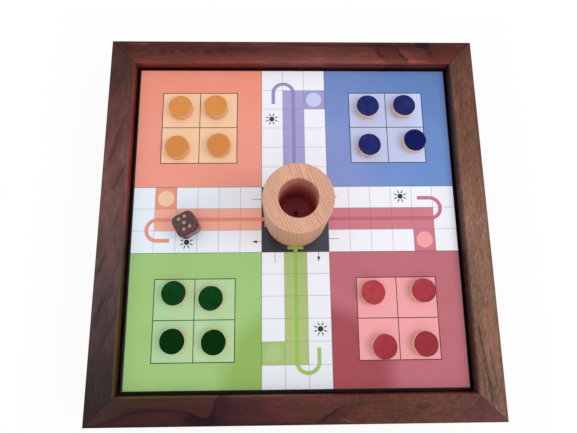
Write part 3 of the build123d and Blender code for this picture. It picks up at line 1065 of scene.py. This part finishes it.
def pip_dabs(name):
    """
    Thin lens-shaped dabs, one in each dimple. A dab is a shallow bowl of the dimple's own radius, closed
    above by a slightly sunken face, made on a disc of rings and angles and turned to its face of the die.
    """
    half = (die_high[2] - die_low[2]) / 2
    # Pips are this far from a face's middle, those of the five nearer one way.
    reach, near = 4.45, 2.4
    # The dimple's ball and the die's rounded edges, which begin this far from the middle.
    ball, width, flat, edge_radius = 1.852, 1.36, 4.0, 5.0
    corners = [(-reach, reach), (reach, -reach), (reach, reach), (-reach, -reach)]
    layouts = {
        5: [(0, 0), (-near, reach), (near, reach), (-near, -reach), (near, -reach)],
        2: corners[:2], 1: [(0, 0)], 6: corners + [(-reach, 0), (reach, 0)],
        3: corners[:2] + [(0, 0)], 4: corners,
    }
    # The axes of each face of the die, as the rows of a turn.
    ways = {
        5: [(1, 0, 0), (0, 1, 0), (0, 0, 1)], 2: [(1, 0, 0), (0, -1, 0), (0, 0, -1)],
        1: [(1, 0, 0), (0, 0, -1), (0, 1, 0)], 6: [(1, 0, 0), (0, 0, 1), (0, -1, 0)],
        3: [(0, 0, 1), (0, 1, 0), (-1, 0, 0)], 4: [(0, 0, -1), (0, 1, 0), (1, 0, 0)],
    }
    about = np.array(Matrix.Rotation(np.radians(die_turn), 3, "Z"))
    angle = np.arange(24) * 2 * np.pi / 24
    radius = np.linspace(0, width, 7)
    bowl = ball - 0.7 - np.sqrt(ball**2 - radius**2) + 0.015
    lid = np.maximum(bowl[-1] - 0.30 * (1 - (radius / width) ** 2), bowl + 0.02)
    radius, height = np.r_[radius, radius[::-1]][:, None], np.r_[bowl, lid[::-1]][:, None]
    disc = np.stack([radius * np.cos(angle), radius * np.sin(angle)], -1)
    dabs = []
    for count, places in layouts.items():
        for place in places:
            # Where a dimple lies on the rounded edge, its dab ends with it, under the surface of the wood.
            beyond = np.maximum(np.abs(disc + place) - flat, 0)
            drop = edge_radius - np.sqrt(edge_radius**2 - (beyond**2).sum(-1))
            on_face = np.dstack([disc + place, np.minimum(height, -drop - 0.04) + half])
            dabs.append(surface(name, (on_face @ (about @ ways[count]).T + die_centre) * MM))
    with bpy.context.temp_override(active_object=dabs[0], selected_editable_objects=dabs):
        bpy.ops.object.join()
    return dabs[0]


dabs = pip_dabs("die_pips")
dabs.data.materials.append(pip_paint())
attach(dabs, "die")

# ---------------------------------------------------------------------------
# The dice cup: a short thick cylinder turned from pale pink-brown wood on the
# lathe and bored with one large drill, whose point and rings still mark the
# floor. The rim is end grain, and its growth rings run straight across.
# ---------------------------------------------------------------------------

cup_low, cup_high = corners_of("dice_cup")
cup_centre, cup_foot, cup_rim = (cup_low + cup_high) / 2, cup_low[2], cup_high[2]
cup_radius, bore_radius, cup_floor = 24.75, 13.75, cup_foot + 9.0


def cup_wood():
    """
    Wood with nearly flat growth rings that stand upright in the cup, so that they cross the rim as
    slanting stripes and run down the side. The bore is painted darker and redder towards its floor, as
    the shade and the red light bounced down in it.
    """
    recipe, (x, y, z) = material("cup_wood")
    off_x, off_y, depth = x - cup_centre[0], y - cup_centre[1], cup_rim - z
    across, along = turned_by(off_x, off_y, 22.0)
    sway = recipe.noise((across * 0.05, along * 0.04, depth * 0.012)) - 0.5
    ragged = recipe.noise((across * 0.3, along * 0.35, depth * 0.05)) - 0.5
    count = (across - along * along * 0.002 + sway * 4.0 + ragged * 2.0) / 2.1
    number = count.math("FLOOR")
    part = count - number
    strength = recipe.chance(number) * 0.75 + 0.25 + ragged * 1.1
    late = part.rise(0.2, 0.75) * part.rise(1.0, 0.75) * strength
    pores = recipe.noise((across * 2.4, along * 2.4, depth * 0.12), 1.0, 3.0, 0.6)
    fleck = recipe.noise((across * 0.5, along * 3.0, depth * 0.3))
    warm = recipe.noise((across * 0.22, along * 0.03, depth * 0.01)).rise(0.42, 0.62)
    # The side is darker, and greyer at its flanks, where the rim's edge is greyer too.
    flank = abs(off_x).rise(8.0, 20.0)
    radius = (off_x * off_x + off_y * off_y).math("SQRT")
    on_side = radius.rise(bore_radius + 2.0, cup_radius - 0.4) * depth.rise(0.3, 1.6)
    side = recipe.mix(flank, rgb(194, 138, 96), rgb(194, 146, 122))
    # The bore has rings from the drill all over, deep arcs high up at the back, and painted shade in the
    # corner round its floor; its colour is painted darker and redder downwards, as shade. The drill's point
    # is nearly black.
    in_bore = radius.rise(bore_radius + 0.25, bore_radius - 0.05) * depth.rise(0.8, 2.4)
    bored = recipe.mix(depth.rise(2.0, 44.0), rgb(222, 160, 142), rgb(204, 100, 106))
    drilled = recipe.noise((radius * 0.9, depth * 0.9, along * 0.03)).rise(0.45, 0.7)
    arcs = (depth / 1.5 + ragged * 0.5).math("FRACT").rise(0.55, 0.85)
    arcs = arcs * depth.rise(11.0, 4.0) * off_y.rise(2.0, 9.0)
    corner = radius.rise(bore_radius - 2.2, bore_radius - 0.4) * depth.rise(46.0, 49.5)
    dark = drilled * 0.40 + late * 0.15 + corner * 0.35 + arcs * 0.5
    dark_point = radius.rise(2.6, 1.2) * depth.rise(48.0, 50.0)
    colour = recipe.layers(
        rgb(226, 173, 152), (warm, rgb(221, 172, 142)), (late * 0.9, rgb(180, 122, 92)),
        (fleck.rise(0.5, 0.8) * 0.3, rgb(204, 150, 120)), (pores.rise(0.55, 0.8) * 0.35, rgb(168, 112, 84)),
        (flank * depth.rise(1.6, 0.3) * 0.5, rgb(202, 156, 134)), (on_side * 0.5, side),
        (in_bore, recipe.mix(dark, bored, rgb(128, 46, 54))), (dark_point * 0.8, rgb(30, 12, 12)),
    )
    return recipe.finish(
        Base_Color=colour,
        Roughness=pores * 0.25 + 0.42,
        Normal=recipe.bump(pores * 0.7 + late * 0.3, 0.07),
        Specular_IOR_Level=0.3,
    )


def cup_profile():
    """Foot, outer wall, rim, softened mouth, bore and a floor with shallow rings about the drill's point."""
    outer = rounded(
        (0, cup_foot, 0), (cup_radius - 4, cup_foot, 0), (cup_radius, cup_foot, 0.9),
        (cup_radius, cup_rim - 3, 0), (cup_radius, cup_rim, 0.9), (bore_radius + 5, cup_rim, 0),
        (bore_radius, cup_rim, 1.4), (bore_radius, cup_rim - 4, 0),
    )
    wall = np.stack([np.full(60, bore_radius), np.linspace(cup_rim - 4.5, cup_floor + 0.6, 60)], -1)
    radius = np.linspace(bore_radius, 1.7, 60)
    rings = 0.08 * np.sin(radius * 3.4) + 0.05 * np.sin(radius * 7.9)
    floor = np.stack([radius, cup_floor + rings], -1)
    point = np.array([(1.6, cup_floor - 0.1), (0.8, cup_floor - 0.9), (0, cup_floor - 1.6)])
    return np.vstack([outer, wall, floor, point])


def tool_marks(radius, height, angle):
    """Fine scores from the chisel on the outside and a slow spiral from the drill in the bore."""
    outside = (radius > cup_radius - 0.3) * (0.015 * np.sin(height * 4.1) + 0.02 * np.cos(2 * angle) - 0.03)
    bore = np.abs(radius - bore_radius) < 0.1
    return outside + bore * 0.03 * np.sin(height * 2.2 + angle)


cup = turned_surface("dice_cup_turned", cup_profile(), cup_centre, 160, tool_marks)
cup.data.materials.append(cup_wood())
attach(cup, "cup")
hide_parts("dice_cup")

# ---------------------------------------------------------------------------
# The room: a white table top, an even pale light from all round, a large soft
# lamp on the right, a weak one in front and the camera above the near edge.
# ---------------------------------------------------------------------------


def looked_at(recipe):
    """1 for what is seen straight, mirrored or through glass, and 0 for the light that it throws."""
    path = recipe.add("LightPath")
    straight, mirrored = recipe.field(path, "Is Camera Ray"), recipe.field(path, "Is Glossy Ray")
    return straight.most(mirrored).most(recipe.field(path, "Is Transmission Ray"))


def table_top():
    """White laminate that is seen nearly white, with a part of the shade that lies near the box."""
    reach = 6.0
    corners = np.array([(-reach, -reach, 0), (reach, -reach, 0), (reach, reach, 0), (-reach, reach, 0)])
    table = smooth_piece("table_top", corners, [(0, 1, 2, 3)])
    recipe, (x, y, z) = material("white_laminate")
    fine = recipe.noise((x, y, z), 0.02, 3.0)
    laminate = recipe.finish(
        Base_Color=recipe.ramp(fine, [(0.3, rgb(236, 236, 236)), (0.7, rgb(242, 242, 242))]),
        Roughness=0.6, Specular_IOR_Level=0.2,
    )
    parts = recipe.tree.nodes
    white = recipe.add("Emission", {"Color": (1, 1, 1, 1), "Strength": 1.0})
    beyond = abs(x).most(abs(y)).rise(160.0, 270.0)
    mixed = recipe.add("MixShader", {
        0: looked_at(recipe) * (beyond * 0.10 + 0.90), 1: parts["Principled BSDF"].outputs[0],
        2: white.outputs[0],
    })
    recipe.fill(parts["Material Output"].inputs, {"Surface": mixed.outputs[0]})
    table.data.materials.append(laminate)
    return table


table_top()

world = bpy.data.worlds.new("pale_room")
bpy.context.scene.world = world
world.use_nodes = True
room = Recipe(world.node_tree)
room.fill(world.node_tree.nodes["Background"].inputs, {
    "Color": (1.0, 1.0, 1.0, 1.0), "Strength": looked_at(room) * 0.17 + 0.83,
})


def soft_lamp(name, place, width, power):
    """A square lamp at a place, turned to face the middle of the box."""
    lamp = bpy.data.lights.new(name, "AREA")
    lamp.shape, lamp.size, lamp.energy = "SQUARE", width, power
    lamp_object = bpy.data.objects.new(name, lamp)
    back = Vector(place) - Vector((0, 0, 0.06))
    lamp_object.matrix_world = Matrix.LocRotScale(Vector(place), back.to_track_quat("Z", "Y"), None)
    bpy.context.scene.collection.objects.link(lamp_object)


soft_lamp("window_right", (1.02, -0.20, 1.22), 0.6, 5.0)
soft_lamp("window_front", (0.30, -1.35, 1.20), 1.4, 2.0)

# The camera, fitted to the corners of the frame and the squares of the print: its place in metres, and
# its turns about x, y and z in degrees.
camera = bpy.data.cameras.new("camera")
camera.sensor_width, camera.lens = 36.0, 28.85
camera.clip_start = 0.01
viewer = bpy.data.objects.new("camera", camera)
place, turns = (-0.01366, -0.07693, 0.42310), (12.279, -1.258, -0.518)
viewer.matrix_world = Matrix.LocRotScale(Vector(place), Euler(np.radians(turns)), None)
bpy.context.scene.collection.objects.link(viewer)
bpy.context.scene.camera = viewer
bpy.context.scene.view_settings.view_transform = "Standard"
